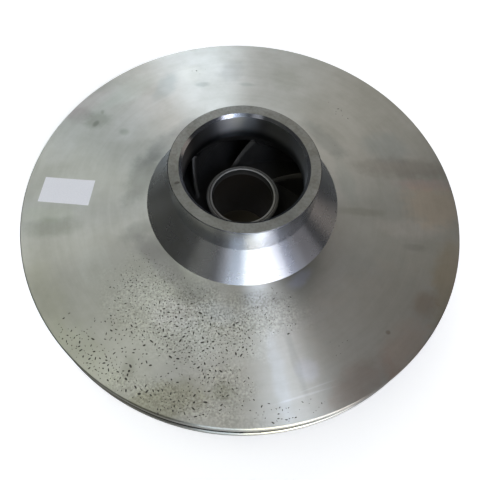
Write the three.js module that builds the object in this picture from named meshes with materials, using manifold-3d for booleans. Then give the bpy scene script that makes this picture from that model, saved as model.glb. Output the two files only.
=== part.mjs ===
// Closed radial pump impeller, lying on the rear face of its hub with the eye upwards.
// Millimetres, +Z along the shaft axis towards the eye, origin at the centre of the hub's rear face.
import * as THREE from 'three';
import { mergeVertices } from 'three/addons/utils/BufferGeometryUtils.js';
import Module from 'manifold-3d';

const wasm = await Module();
wasm.setup();

// Overall
const rimRadius = 160;
const bottomOfHub = 0;
const topOfEye = 97;
const rimChamfer = 0.8;
const clearance = 0.3;

// Front shroud: a shallow cone outside, a slightly steeper one inside
const frontRimTop = 48;
const frontRimThickness = 8;
const frontInnerTop = 50;

// Collar: a 45 degree cone outside that ends flush with the ring, a throat with a quarter of an ellipse inside
const collarRadius = 68.8;
const collarBase = 56.5;
const collarTopRadius = 51.4;
const collarTop = 74.2;
const throatRadius = 45;
const throatEndRadius = 66;

// Wear ring round the eye
const eyeRadius = 41.9;
const wearRingRadius = 51.1;
const wearRingChamfer = 0.5;
const eyeChamfer = 1.4;

// Rear shroud, flared up to the hub
const outletWidth = 10;
const rearRimThickness = 7;
const flareEndRadius = 84;
const bossFillet = 6;

// Hub: a boss behind the rear shroud, a thin nose in the eye
const boreRadius = 21.8;
const bossRadius = 35;
const noseRadius = 26;
const noseTop = 59.5;
const flareTop = 56;
const hubChamfer = 1.2;
const bossChamfer = 1.5;

// Keyway
const keywayWidth = 8;
const keywayDepth = 3.3;
const keywayAngle = THREE.MathUtils.degToRad(-94);

// Vanes: backward swept, flat topped by the shrouds, leading edges sloping up and outwards in the eye
const vaneCount = 6;
const firstVaneAngle = THREE.MathUtils.degToRad(111);
const inletRadius = 33;
const inletTipRadius = 47;
const inletBladeAngle = THREE.MathUtils.degToRad(38);
const outletBladeAngle = THREE.MathUtils.degToRad(27);
const inletThickness = 3.2;
const bladeThickness = 5.5;
const outletThickness = 4;
const vaneStations = 28;

// Paper label on the front shroud
const labelLength = 38.1;
const labelWidth = 21.2;
const labelThickness = 0.4;
const labelCentre = new THREE.Vector2(-128.8, -1.7);
const labelTurn = THREE.MathUtils.degToRad(-3.7);

// Facets round the axis, and along a curve
const roundSegments = 72;
const cuttingSegments = 36;
const curveSteps = 8;

// Materials
const turnedSteel = new THREE.MeshStandardMaterial({ color: 0x9a9b96, roughness: 0.38, metalness: 1 });
const polishedSteel = new THREE.MeshStandardMaterial({ color: 0x8d8f99, roughness: 0.2, metalness: 1 });
const castSteel = new THREE.MeshStandardMaterial({ color: 0x4a4947, roughness: 0.7, metalness: 1 });
const paper = new THREE.MeshStandardMaterial({ color: 0xe9e9ec, roughness: 0.85, metalness: 0 });

// Levels that follow from the driving dimensions
const frontRimBottom = frontRimTop - frontRimThickness;
const rearRimTop = frontRimBottom - outletWidth;
const rearRimBottom = rearRimTop - rearRimThickness;

// Height of the straight part of the front shroud's inner face at a radius
function frontInnerHeight(radius) {
  const along = (radius - throatEndRadius) / (rimRadius - throatEndRadius);
  return THREE.MathUtils.lerp(frontInnerTop, frontRimBottom, along);
}

// Height of the front shroud's outer cone at a radius
function frontOuterHeight(radius) {
  const along = (radius - collarRadius) / (rimRadius - collarRadius);
  return THREE.MathUtils.lerp(collarBase, frontRimTop, along);
}

// A quarter of an ellipse from straight down (at its left) to level (at its foot), as [radius, height] pairs
function hollowQuarter(centreRadius, centreHeight, reach, drop, fromAngle = 0, steps = curveSteps) {
  const points = [];
  for (let i = 0; i <= steps; i += 1) {
    const angle = fromAngle + (Math.PI / 2 - fromAngle) * (i / steps);
    points.push([centreRadius - reach * Math.cos(angle), centreHeight - drop * Math.sin(angle)]);
  }
  return points;
}

// The throat's curve, from the wear ring down to the front shroud's inner cone
function throatCurve(gap, fromAngle = 0) {
  const reach = throatEndRadius - throatRadius + gap;
  const drop = collarTop - frontInnerTop + gap;
  return hollowQuarter(throatEndRadius, collarTop, reach, drop, fromAngle);
}

// The hub's flare, from the nose down to the rear shroud's level face
function flareCurve(gap, fromAngle = 0) {
  const reach = flareEndRadius - noseRadius - gap;
  const drop = flareTop - rearRimTop - gap;
  return hollowQuarter(flareEndRadius, flareTop, reach, drop, fromAngle);
}

// The angle at which the hub's flare passes a radius, and the same for the throat
function flareAngle(radius, gap) {
  return Math.acos((flareEndRadius - radius) / (flareEndRadius - noseRadius - gap));
}
function throatAngle(radius, gap) {
  return Math.acos((throatEndRadius - radius) / (throatEndRadius - throatRadius + gap));
}

// A ring turned from a closed outline of [radius, height] pairs
function turned(outline, segments = roundSegments) {
  const closed = [...outline, outline[0]];
  const points = closed.map(([radius, height]) => new THREE.Vector2(radius, height));
  const geometry = new THREE.LatheGeometry(points, segments);
  return geometry.rotateX(Math.PI / 2);
}

function toSolid(geometry) {
  const bare = geometry.clone();
  bare.deleteAttribute('normal');
  bare.deleteAttribute('uv');
  const merged = mergeVertices(bare, 1e-4);
  const mesh = new wasm.Mesh({
    numProp: 3,
    vertProperties: merged.getAttribute('position').array,
    triVerts: new Uint32Array(merged.index.array),
  });
  return new wasm.Manifold(mesh);
}

function toGeometry(solid) {
  const mesh = solid.getMesh();
  const geometry = new THREE.BufferGeometry();
  geometry.setAttribute('position', new THREE.BufferAttribute(mesh.vertProperties, 3));
  geometry.setIndex(new THREE.BufferAttribute(mesh.triVerts, 1));
  geometry.computeVertexNormals();
  return geometry;
}

function frontShroudGeometry() {
  return turned([
    [collarRadius, frontInnerHeight(collarRadius)],
    [rimRadius - rimChamfer, frontInnerHeight(rimRadius - rimChamfer)],
    [rimRadius, frontRimBottom + rimChamfer],
    [rimRadius, frontRimTop - rimChamfer],
    [rimRadius - rimChamfer, frontOuterHeight(rimRadius - rimChamfer)],
    [collarRadius, collarBase],
  ]);
}

function collarGeometry() {
  return turned([
    ...throatCurve(0),
    [collarRadius, frontInnerHeight(collarRadius)],
    [collarRadius, collarBase],
    [collarTopRadius, collarTop],
  ]);
}

function wearRingGeometry() {
  return turned([
    [eyeRadius, collarTop],
    [wearRingRadius, collarTop],
    [wearRingRadius, topOfEye - wearRingChamfer],
    [wearRingRadius - wearRingChamfer, topOfEye],
    [eyeRadius + eyeChamfer, topOfEye],
    [eyeRadius, topOfEye - eyeChamfer],
  ]);
}

function rearShroudGeometry() {
  const fillet = hollowQuarter(bossRadius + bossFillet, rearRimBottom - bossFillet, bossFillet, -bossFillet, 0, 3);
  const flare = flareCurve(0, flareAngle(bossRadius, 0));
  return turned([
    ...fillet,
    [rimRadius - rimChamfer, rearRimBottom],
    [rimRadius, rearRimBottom + rimChamfer],
    [rimRadius, rearRimTop - rimChamfer],
    [rimRadius - rimChamfer, rearRimTop],
    ...flare.reverse(),
  ]);
}

function hubGeometry() {
  const flare = flareCurve(0).filter(([radius]) => radius < bossRadius);
  const flareFootAngle = flareAngle(bossRadius, 0);
  const flareFoot = flareTop - (flareTop - rearRimTop) * Math.sin(flareFootAngle);
  const body = toSolid(turned([
    [boreRadius, bottomOfHub + hubChamfer],
    [boreRadius + hubChamfer, bottomOfHub],
    [bossRadius - bossChamfer, bottomOfHub],
    [bossRadius, bottomOfHub + bossChamfer],
    [bossRadius, flareFoot],
    ...flare.reverse(),
    [noseRadius, noseTop - hubChamfer],
    [noseRadius - hubChamfer, noseTop],
    [boreRadius + hubChamfer, noseTop],
    [boreRadius, noseTop - hubChamfer],
  ]));
  const slot = new THREE.BoxGeometry(boreRadius + keywayDepth, keywayWidth, 2 * noseTop);
  slot.translate((boreRadius + keywayDepth) / 2, 0, noseTop / 2);
  slot.rotateZ(keywayAngle);
  return toGeometry(body.subtract(toSolid(slot)));
}

// The space between the shrouds that the vanes fill, kept a little clear of them
function passageGeometry() {
  const flare = flareCurve(clearance, flareAngle(inletRadius, clearance));
  const throat = throatCurve(clearance, throatAngle(inletTipRadius, clearance));
  return turned([
    ...flare,
    [rimRadius - rimChamfer, rearRimTop + clearance],
    [rimRadius - rimChamfer, frontRimBottom - clearance],
    ...throat.reverse(),
  ], cuttingSegments);
}

// The vane's middle line in plan: its angle to the rim direction changes evenly from inlet to outlet
function vaneMiddleLine() {
  const startRadius = inletRadius - 2 * inletThickness;
  const endRadius = rimRadius + outletThickness;
  const line = [];
  let turn = 0;
  let lastRadius = startRadius;
  for (let i = 0; i <= vaneStations; i += 1) {
    const radius = startRadius * (endRadius / startRadius) ** (i / vaneStations);
    const along = (radius - inletRadius) / (rimRadius - inletRadius);
    const bladeAngle = THREE.MathUtils.lerp(inletBladeAngle, outletBladeAngle, along);
    turn -= Math.log(radius / lastRadius) / Math.tan(bladeAngle);
    lastRadius = radius;
    line.push({ radius, turn, along, bladeAngle });
  }
  const inletTurn = line.find((station) => station.along >= 0).turn;
  return line.map((station) => ({ ...station, turn: station.turn - inletTurn }));
}

function vaneThickness(along) {
  const swelling = THREE.MathUtils.smoothstep(along, 0, 0.2);
  const thinning = THREE.MathUtils.smoothstep(along, 0.7, 1);
  const grown = THREE.MathUtils.lerp(inletThickness, bladeThickness, swelling);
  return THREE.MathUtils.lerp(grown, outletThickness, thinning);
}

function vaneOutline() {
  const left = [];
  const right = [];
  for (const { radius, turn, along, bladeAngle } of vaneMiddleLine()) {
    const middle = new THREE.Vector2(radius * Math.cos(turn), radius * Math.sin(turn));
    const normalAngle = turn + bladeAngle;
    const half = vaneThickness(along) / 2;
    const normal = new THREE.Vector2(Math.cos(normalAngle), Math.sin(normalAngle)).multiplyScalar(half);
    left.push(middle.clone().add(normal));
    right.push(middle.clone().sub(normal));
  }
  return new THREE.Shape([...left, ...right.reverse()]);
}

function vaneGeometry() {
  const depth = collarTop - rearRimBottom;
  const wall = new THREE.ExtrudeGeometry(vaneOutline(), { depth, bevelEnabled: false, steps: 1 });
  wall.translate(0, 0, rearRimBottom);
  return toGeometry(toSolid(wall).intersect(toSolid(passageGeometry())));
}

// The label lies on the front shroud's cone, tilted with it
function labelMesh() {
  const sheet = new THREE.Mesh(new THREE.BoxGeometry(labelLength, labelWidth, labelThickness), paper);
  const radius = labelCentre.length();
  const slope = Math.atan2(collarBase - frontRimTop, rimRadius - collarRadius);
  const lift = clearance + labelThickness / 2;
  sheet.rotation.z = labelTurn;
  const tilted = new THREE.Group();
  tilted.position.set(labelCentre.x, labelCentre.y, frontOuterHeight(radius) + lift);
  tilted.rotation.y = -slope;
  tilted.add(sheet);
  sheet.name = 'paper_label';
  return tilted;
}

function named(name, geometry, material) {
  const mesh = new THREE.Mesh(geometry, material);
  mesh.name = name;
  return mesh;
}

const impeller = new THREE.Group();
impeller.add(named('front_shroud', frontShroudGeometry(), turnedSteel));
impeller.add(named('throat_collar', collarGeometry(), polishedSteel));
impeller.add(named('wear_ring', wearRingGeometry(), polishedSteel));
impeller.add(named('rear_shroud', rearShroudGeometry(), turnedSteel));
impeller.add(named('hub', hubGeometry(), turnedSteel));

const vane = vaneGeometry();
for (let i = 0; i < vaneCount; i += 1) {
  const blade = named(`vane_${i + 1}`, vane, castSteel);
  blade.rotation.z = firstVaneAngle + (i * 2 * Math.PI) / vaneCount;
  impeller.add(blade);
}

impeller.add(labelMesh());

export default impeller;
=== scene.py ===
import math
import random

import bpy
import bmesh
from mathutils import Matrix, Vector


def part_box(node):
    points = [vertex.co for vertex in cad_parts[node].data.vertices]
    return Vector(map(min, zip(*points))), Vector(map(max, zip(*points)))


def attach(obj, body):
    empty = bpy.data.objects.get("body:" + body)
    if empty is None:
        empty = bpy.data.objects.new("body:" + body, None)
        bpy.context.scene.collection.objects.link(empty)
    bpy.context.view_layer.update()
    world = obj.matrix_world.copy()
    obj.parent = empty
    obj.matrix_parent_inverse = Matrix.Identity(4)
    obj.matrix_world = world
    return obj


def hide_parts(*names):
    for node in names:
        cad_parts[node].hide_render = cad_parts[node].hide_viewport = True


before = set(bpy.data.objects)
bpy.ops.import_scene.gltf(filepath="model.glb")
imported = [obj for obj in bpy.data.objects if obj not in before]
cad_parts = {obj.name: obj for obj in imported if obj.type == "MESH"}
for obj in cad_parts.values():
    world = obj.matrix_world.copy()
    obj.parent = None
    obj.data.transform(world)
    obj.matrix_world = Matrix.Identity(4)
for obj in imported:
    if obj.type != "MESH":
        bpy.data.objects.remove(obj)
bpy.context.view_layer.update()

# Camera: a phone held over the near edge, as worked out from the ellipses of the turned circles.
# It looks down at 63 degrees from 0.41 m, turned 4 degrees about its own axis.
MM = 0.001
IMAGE_SIZE = 480
FOCAL_PIXELS = 558.7
SENSOR = 36.0
rim_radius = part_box("front_shroud")[1].x
rim_edge_height = 48 * MM
look_down = math.radians(62.79)
camera_roll = math.radians(4.07)
camera_spot = Vector((0.0015, -1.3279, 2.2142)) * rim_radius

forward = Vector((0, math.cos(look_down), -math.sin(look_down)))
level_right = Vector((1, 0, 0))
level_up = level_right.cross(forward)
camera_right = math.cos(camera_roll) * level_right + math.sin(camera_roll) * level_up
camera_up = math.cos(camera_roll) * level_up - math.sin(camera_roll) * level_right

camera_data = bpy.data.cameras.new("phone_camera")
camera_data.sensor_width = SENSOR
camera_data.lens = FOCAL_PIXELS / IMAGE_SIZE * SENSOR
camera_data.clip_start = 0.01
camera_data.clip_end = 20


def add_object(name, data):
    """An object in the scene, made from its camera, mesh or light."""
    added = bpy.data.objects.new(name, data)
    bpy.context.scene.collection.objects.link(added)
    return added


camera = add_object("phone_camera", camera_data)
turn = Matrix((camera_right, camera_up, -forward)).transposed().to_4x4()
camera.matrix_world = Matrix.Translation(camera_spot + Vector((0, 0, rim_edge_height))) @ turn
bpy.context.scene.camera = camera


# Hub: the middle of the casting, bored through and keyed for the shaft, with a boss behind and a thin nose
# in the eye. Stainless steel, turned on the nose, the bore and the boss, and left as cast on its flare.
BORE_RADIUS = 21.8 * MM
BOSS_RADIUS = 35 * MM
NOSE_RADIUS = 26 * MM
FLARE_END = 84 * MM
FLARE_TOP = 56 * MM
HUB_CHAMFER = 1.2 * MM
BOSS_CHAMFER = 1.5 * MM
NOSE_GROOVE = 24.05 * MM
LIP_RADIUS = 22.9 * MM
LIP_WIDTH = 0.5 * MM
SMALL_STEP = 0.3 * MM
LEAD_IN_DEPTH = 1.6 * MM
SHADED_WALL_DEPTH = 5.5 * MM
KEYWAY_WIDTH = 8 * MM
KEYWAY_DEPTH = 3.3 * MM
KEYWAY_ANGLE = math.radians(-94)
OUTLET_FLOOR = 30 * MM
ROUND_SEGMENTS = 288
CURVE_STEPS = 24
LATHE_CIRCLE = 1.0
SHARP_ANGLE = math.radians(26)

hub_low, hub_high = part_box("hub")


def linear(hex_colour):
    """The linear colour of an sRGB hex value such as "9a9b96"."""
    channels = [int(hex_colour[i:i + 2], 16) / 255 for i in (0, 2, 4)]
    straight = [c / 12.92 if c <= 0.04045 else ((c + 0.055) / 1.055) ** 2.4 for c in channels]
    return (*straight, 1.0)


def set_inputs(tree, node, inputs):
    """Gives each input named its value, or a link from a socket."""
    for key, value in inputs.items():
        if isinstance(value, bpy.types.NodeSocket):
            tree.links.new(value, node.inputs[key])
        else:
            node.inputs[key].default_value = value


def add_node(tree, kind, inputs=None, **settings):
    """A node of a kind, with its settings and its inputs."""
    node = tree.nodes.new(kind)
    for name, value in settings.items():
        setattr(node, name, value)
    set_inputs(tree, node, inputs or {})
    return node


def new_material(name):
    """A material with a bare Principled shader, its node tree and that shader."""
    material = bpy.data.materials.new(name)
    material.use_nodes = True
    tree = material.node_tree
    tree.nodes.clear()
    shader = add_node(tree, "ShaderNodeBsdfPrincipled")
    add_node(tree, "ShaderNodeOutputMaterial", {"Surface": shader.outputs["BSDF"]})
    return material, tree, shader


# Height counts for more in the feed, because with equal shares the 45 degree cone would have no rings.
HEIGHT_IN_FEED = 1.7
# How much smears add to patches, and rings to wear, and between which sums of the two wear grows.
SMEAR_SHARE = 0.4
RING_SHARE = 0.15
WEAR_START = 0.55
WEAR_FULL = 0.9


def lathe_coordinates(tree):
    """Where a point is on the lathe: its place, how far the tool had fed, and the way the work turned."""
    place = add_node(tree, "ShaderNodeTexCoord").outputs["Object"]
    x, y, z = add_node(tree, "ShaderNodeSeparateXYZ", {0: place}).outputs
    flat = add_node(tree, "ShaderNodeCombineXYZ", {0: x, 1: y}).outputs[0]
    radius = add_node(tree, "ShaderNodeVectorMath", {0: flat}, operation="LENGTH").outputs["Value"]
    feed = add_node(tree, "ShaderNodeMath", {0: z, 1: HEIGHT_IN_FEED, 2: radius}, operation="MULTIPLY_ADD")
    back = add_node(tree, "ShaderNodeMath", {0: y, 1: -1.0}, operation="MULTIPLY").outputs[0]
    along = add_node(tree, "ShaderNodeCombineXYZ", {0: back, 1: x}).outputs[0]
    direction = add_node(tree, "ShaderNodeVectorMath", {0: along}, operation="NORMALIZE")
    return place, feed.outputs[0], direction.outputs[0]


# Turned stainless steel: a single-point tool leaves fine rings, so each light is drawn out into a streak
# from the axis to the rim. The feed of about 0.3 mm is too fine for the picture, so the rings are drawn 1 to
# 4 mm wide. Wiping has left faint smears along them, 10 by 20 to 40 mm, and handling has left dull patches.
# A noise's scale is the number of its largest grains in a metre: 1.7 mm wide for rings, 30 mm for patches.
def turned_steel(name, clean, dull, roughness, streaking, ring_depth, wear, metallic=1.0):
    """Turned steel whose colour goes from clean to dull with wear, with rings of a depth in millimetres."""
    material, tree, shader = new_material(name)
    place, feed, direction = lathe_coordinates(tree)
    rings = add_node(tree, "ShaderNodeTexNoise", {"W": feed, "Scale": 600.0, "Detail": 4.0, "Roughness": 0.7},
                     noise_dimensions="1D").outputs[0]
    patches = add_node(tree, "ShaderNodeTexNoise",
                       {"Vector": place, "Scale": 34.0, "Detail": 4.0, "Roughness": 0.65}).outputs[0]
    turned_x, turned_y, _ = add_node(tree, "ShaderNodeSeparateXYZ", {0: direction}).outputs
    fed = add_node(tree, "ShaderNodeMath", {0: feed, 1: 90.0}, operation="MULTIPLY").outputs[0]
    along_rings = add_node(tree, "ShaderNodeCombineXYZ", {0: turned_x, 1: turned_y, 2: fed}).outputs[0]
    smears = add_node(tree, "ShaderNodeTexNoise",
                      {"Vector": along_rings, "Scale": 3.0, "Detail": 6.0, "Roughness": 0.6}).outputs[0]
    handled = add_node(tree, "ShaderNodeMath", {0: smears, 1: SMEAR_SHARE, 2: patches},
                       operation="MULTIPLY_ADD").outputs[0]
    worn = add_node(tree, "ShaderNodeMapRange",
                    {"Value": handled, "From Min": WEAR_START, "From Max": WEAR_FULL,
                     "To Max": wear}).outputs[0]
    ringed = add_node(tree, "ShaderNodeMath", {0: rings, 1: RING_SHARE, 2: worn},
                      operation="MULTIPLY_ADD").outputs[0]
    tone = add_node(tree, "ShaderNodeMix", {0: ringed, 6: linear(clean), 7: linear(dull)}, data_type="RGBA")
    rough = add_node(tree, "ShaderNodeMapRange",
                     {"Value": ringed, "To Min": roughness * 0.94, "To Max": roughness * 1.1})
    relief = add_node(tree, "ShaderNodeBump", {"Height": rings, "Strength": 1.0, "Distance": ring_depth * MM})
    set_inputs(tree, shader, {
        "Base Color": tone.outputs[2],
        "Metallic": metallic,
        "Roughness": rough.outputs[0],
        "Anisotropic": streaking,
        "Anisotropic Rotation": 0.25,
        "Tangent": direction,
        "Normal": relief.outputs[0],
    })
    return material


# Stainless steel as cast: a dull, dark grey sand-cast skin with grains of 0.3 to 1 mm, never machined.
# Scale and dried oil hide part of the metal, so it gleams a little and mirrors nothing.
def cast_steel(name, dark, light, metallic):
    """The cast skin, whose patches go from dark to light, with a share of bare metal from 0 to 1."""
    material, tree, shader = new_material(name)
    place = add_node(tree, "ShaderNodeTexCoord").outputs["Object"]
    grain = add_node(tree, "ShaderNodeTexNoise", {"Vector": place, "Scale": 900.0, "Detail": 3.0}).outputs[0]
    patches = add_node(tree, "ShaderNodeTexNoise", {"Vector": place, "Scale": 60.0, "Detail": 3.0}).outputs[0]
    tone = add_node(tree, "ShaderNodeMix", {0: patches, 6: linear(dark), 7: linear(light)}, data_type="RGBA")
    rough = add_node(tree, "ShaderNodeMapRange", {"Value": grain, "To Min": 0.45, "To Max": 0.7})
    relief = add_node(tree, "ShaderNodeBump", {"Height": grain, "Strength": 0.6, "Distance": 0.25 * MM})
    set_inputs(tree, shader, {
        "Base Color": tone.outputs[2],
        "Metallic": metallic,
        "Roughness": rough.outputs[0],
        "Normal": relief.outputs[0],
    })
    return material


rough_casting = cast_steel("cast_steel_skin", "292927", "444341", metallic=0.4)
turned_casting = turned_steel("turned_steel", "bdbeb9", "a3a39b", roughness=0.35, streaking=0.92,
                              ring_depth=0.004, wear=0.5)
polished_casting = turned_steel("polished_steel", "b9bcc4", "abaeb6", roughness=0.28, streaking=0.76,
                                ring_depth=0.001, wear=0.4)

# The nose is painted in light and shade: a mid grey face for its shade in the eye, painted highlights on its
# outer edge and the bore's lip, painted shade in the groove, on the lead-in and on the bore's first few mm.
nose_shade = turned_steel("painted_nose_shade", "757470", "666561", roughness=0.45, streaking=0.3,
                          ring_depth=0.002, wear=0.8, metallic=0.4)
nose_edge_highlight = turned_steel("painted_nose_edge_highlight", "9a9995", "888783", roughness=0.38, streaking=0.0,
                           ring_depth=0.002, wear=0.8, metallic=0.4)
lip_highlight = turned_steel("painted_lip_highlight", "a8a7a3", "979692", roughness=0.6, streaking=0.0,
                          ring_depth=0.002, wear=0.6, metallic=0.4)
groove_and_bore_shade = turned_steel("painted_groove_and_bore_shade", "3f3e3b", "363532", roughness=0.5, streaking=0.0,
                         ring_depth=0.002, wear=0.8, metallic=0.4)

# Painted shade: the bore and keyway are a matt, nearly black brown that hides the metal, for their deep
# shade.
bore_shade, bore_shade_tree, bore_shade_shader = new_material("painted_bore_shade")
bore_shade_place = add_node(bore_shade_tree, "ShaderNodeTexCoord").outputs["Object"]
bore_shade_mottle = add_node(bore_shade_tree, "ShaderNodeTexNoise", {"Vector": bore_shade_place, "Scale": 250.0, "Detail": 4.0})
bore_shade_tone = add_node(bore_shade_tree, "ShaderNodeMix",
                    {0: bore_shade_mottle.outputs[0], 6: linear("15120e"), 7: linear("2b241b")}, data_type="RGBA")
bore_shade_rough = add_node(bore_shade_tree, "ShaderNodeMapRange",
                     {"Value": bore_shade_mottle.outputs[0], "To Min": 0.6, "To Max": 0.85})
set_inputs(bore_shade_tree, bore_shade_shader, {
    "Base Color": bore_shade_tone.outputs[2],
    "Roughness": bore_shade_rough.outputs[0],
    "Specular IOR Level": 0.1,
})


def geometry_tree(name, inputs):
    """A Geometry Nodes tree with named inputs of the kinds given, and the sockets that give them."""
    tree = bpy.data.node_groups.new(name, "GeometryNodeTree")
    for label, kind in inputs.items():
        tree.interface.new_socket(label, in_out="INPUT", socket_type="NodeSocket" + kind)
    tree.interface.new_socket("Made", in_out="OUTPUT", socket_type="NodeSocketGeometry")
    return tree, add_node(tree, "NodeGroupInput").outputs


def finish_tree(tree, geometry, material):
    """Ends a Geometry Nodes tree: the geometry gets its material and comes out."""
    finished = add_node(tree, "GeometryNodeSetMaterial", {"Geometry": geometry, "Material": material})
    add_node(tree, "NodeGroupOutput", {"Made": finished.outputs[0]})
    return tree


def turning_tree():
    """Geometry Nodes that turn a closed outline round the axis, as a lathe would."""
    tree, given = geometry_tree("turn_on_lathe",
                                {"Outline": "Geometry", "Segments": "Int", "Material": "Material"})
    outline = add_node(tree, "GeometryNodeMeshToCurve", {"Mesh": given["Outline"]})
    circle = add_node(tree, "GeometryNodeCurvePrimitiveCircle",
                      {"Resolution": given["Segments"], "Radius": LATHE_CIRCLE})
    swept = add_node(tree, "GeometryNodeCurveToMesh",
                     {"Curve": circle.outputs[0], "Profile Curve": outline.outputs[0]})
    smooth = add_node(tree, "GeometryNodeSetShadeSmooth", {"Geometry": swept.outputs[0]})
    real = add_node(tree, "GeometryNodeRealizeInstances", {"Geometry": smooth.outputs[0]})
    return finish_tree(tree, real.outputs[0], given["Material"])


def made_mesh(piece):
    """The mesh that a piece's modifiers make of it."""
    bpy.context.view_layer.update()
    evaluated = piece.evaluated_get(bpy.context.evaluated_depsgraph_get())
    return bpy.data.meshes.new_from_object(evaluated)


def make_with_nodes(name, start_mesh, tree, settings):
    """Runs a Geometry Nodes tree on a mesh and returns the plain mesh object that it makes."""
    draft = add_object(name + "_draft", start_mesh)
    modifier = draft.modifiers.new("making", "NODES")
    modifier.node_group = tree
    for item in tree.interface.items_tree:
        if item.item_type == "SOCKET" and item.in_out == "INPUT" and item.name in settings:
            modifier[item.identifier] = settings[item.name]
    mesh = made_mesh(draft)
    mesh.name = name
    bpy.data.objects.remove(draft)
    return add_object(name, mesh)


turn_on_lathe = turning_tree()


def turned_piece(name, outline, material):
    """A ring turned from a closed outline of (radius, height) points, given counter-clockwise."""
    mesh = bpy.data.meshes.new(name + "_outline")
    points = [(radius - LATHE_CIRCLE, -height, 0) for radius, height in reversed(outline)]
    edges = [(i, (i + 1) % len(points)) for i in range(len(points))]
    mesh.from_pydata(points, edges, [])
    return make_with_nodes(name, mesh, turn_on_lathe, {"Segments": ROUND_SEGMENTS, "Material": material})


def paint_faces(piece, material, belongs):
    """Gives a material to each face for which belongs(distance from axis, height, outward, up) is true."""
    piece.data.materials.append(material)
    index = len(piece.data.materials) - 1
    for face in piece.data.polygons:
        outward = Vector((face.center.x, face.center.y, 0)).normalized()
        radial = face.normal.dot(outward)
        if belongs(face.center.xy.length, face.center.z, radial, face.normal.z):
            face.material_index = index


def finish_edges(piece):
    """Smooth faces that meet at a small angle, with a crisp edge wherever they meet at a larger one."""
    for face in piece.data.polygons:
        face.use_smooth = True
    piece.data.set_sharp_from_angle(angle=SHARP_ANGLE)


def elliptic_arc(centre, reach, drop, start=0.0, end=math.pi / 2, steps=CURVE_STEPS):
    """Part of a quarter of an ellipse, upright at 0 and level at 90 degrees, as (radius, height) points."""
    points = []
    for i in range(steps + 1):
        angle = start + (end - start) * i / steps
        points.append((centre[0] - reach * math.cos(angle), centre[1] - drop * math.sin(angle)))
    return points


def straight(start, end, steps):
    """Points along a straight stretch of an outline, without its end."""
    return [(start[0] + (end[0] - start[0]) * i / steps, start[1] + (end[1] - start[1]) * i / steps)
            for i in range(steps)]


def mesh_from(name, shape):
    """A mesh made of a bmesh, which is freed."""
    mesh = bpy.data.meshes.new(name)
    shape.to_mesh(mesh)
    shape.free()
    return mesh


def cut_away(piece, cutter):
    """Cuts a closed cutter out of a piece and removes the cutter."""
    cut = piece.modifiers.new("cut", "BOOLEAN")
    cut.operation = "DIFFERENCE"
    cut.solver = "EXACT"
    cut.material_mode = "TRANSFER"
    cut.object = cutter
    mesh = made_mesh(piece)
    piece.modifiers.clear()
    old = piece.data
    if len(mesh.polygons) < len(old.polygons) / 2:
        raise RuntimeError(f"cutting {piece.name} left too little of it")
    piece.data = mesh
    mesh.name = old.name
    bpy.data.meshes.remove(old)
    bpy.data.objects.remove(cutter)


FLARE_REACH = FLARE_END - NOSE_RADIUS
FLARE_DROP = FLARE_TOP - OUTLET_FLOOR
flare_split = math.acos((FLARE_END - BOSS_RADIUS) / FLARE_REACH)

hub = turned_piece("keyed_hub", [
    (BORE_RADIUS, hub_low.z + HUB_CHAMFER),
    (BORE_RADIUS + HUB_CHAMFER, hub_low.z),
    (BOSS_RADIUS - BOSS_CHAMFER, hub_low.z),
    (BOSS_RADIUS, hub_low.z + BOSS_CHAMFER),
    *reversed(elliptic_arc((FLARE_END, FLARE_TOP), FLARE_REACH, FLARE_DROP, end=flare_split)),
    (NOSE_RADIUS, hub_high.z - HUB_CHAMFER),
    (NOSE_RADIUS - HUB_CHAMFER, hub_high.z),
    (NOSE_GROOVE + SMALL_STEP, hub_high.z),
    (NOSE_GROOVE, hub_high.z - SMALL_STEP),
    (NOSE_GROOVE - SMALL_STEP, hub_high.z),
    (LIP_RADIUS, hub_high.z),
    (LIP_RADIUS - LIP_WIDTH, hub_high.z - SMALL_STEP),
    (BORE_RADIUS, hub_high.z - LEAD_IN_DEPTH),
    (BORE_RADIUS, hub_high.z - SHADED_WALL_DEPTH),
], turned_casting)

slot_reach = BORE_RADIUS + KEYWAY_DEPTH
slot_shape = bmesh.new()
bmesh.ops.create_cube(slot_shape, size=1.0)
bmesh.ops.scale(slot_shape, vec=(slot_reach, KEYWAY_WIDTH, 2 * hub_high.z), verts=slot_shape.verts)
bmesh.ops.translate(slot_shape, vec=(slot_reach / 2, 0, hub_high.z / 2), verts=slot_shape.verts)
bmesh.ops.rotate(slot_shape, matrix=Matrix.Rotation(KEYWAY_ANGLE, 3, "Z"), verts=slot_shape.verts)
slot_mesh = mesh_from("keyway_cutter", slot_shape)
# The keyway's faces take the painted shade of the bore.
slot_mesh.materials.append(bore_shade)
cut_away(hub, add_object("keyway_cutter", slot_mesh))

# Where the painted light and shade on the nose begin and end.
nose_start = hub_high.z - 1.5 * HUB_CHAMFER
shaded_wall_start = hub_high.z - SHADED_WALL_DEPTH
groove_reach = 0.8 * SMALL_STEP
lip_inner = LIP_RADIUS - LIP_WIDTH
lip_outer = LIP_RADIUS - 0.2 * SMALL_STEP
paint_faces(hub, rough_casting, lambda r, z, radial, up: r > NOSE_RADIUS and OUTLET_FLOOR < z < FLARE_TOP)
# Painted shade in the bore, nearly black.
paint_faces(hub, bore_shade, lambda r, z, radial, up: r < BORE_RADIUS and radial < -0.9)
# Painted shade on the nose's face and side, in its groove and on the top of the bore.
paint_faces(hub, nose_shade, lambda r, z, radial, up: z > FLARE_TOP and (up > 0.9 or radial > 0.9))
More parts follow.
